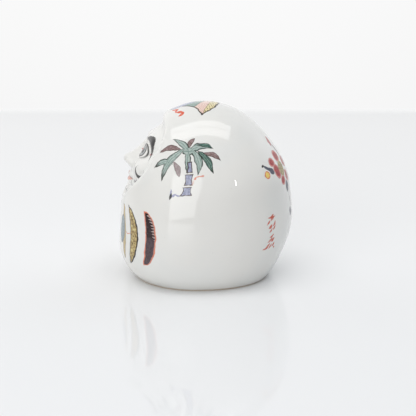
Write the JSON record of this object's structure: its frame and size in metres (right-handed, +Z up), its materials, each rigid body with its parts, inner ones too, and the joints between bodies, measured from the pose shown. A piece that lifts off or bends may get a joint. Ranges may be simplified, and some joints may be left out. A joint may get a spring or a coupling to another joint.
{
  "type": "porcelain daruma figure",
  "caption": "Small rounded porcelain daruma figure with a hooded head, a moulded face and painted enamel motifs, standing on a flat unglazed foot ring.",
  "frame": {"origin": "middle of the bounding box, on the surface that the figure stands on", "axes": "+Z up, the figure looks along -Y, its left side is +X"},
  "size_m": [0.07, 0.0744, 0.075],
  "materials": {
    "glazed_porcelain": "gloss"
  },
  "bodies": {
    "root": {"daruma_figure": "glazed_porcelain"}
  },
  "joints": []
}
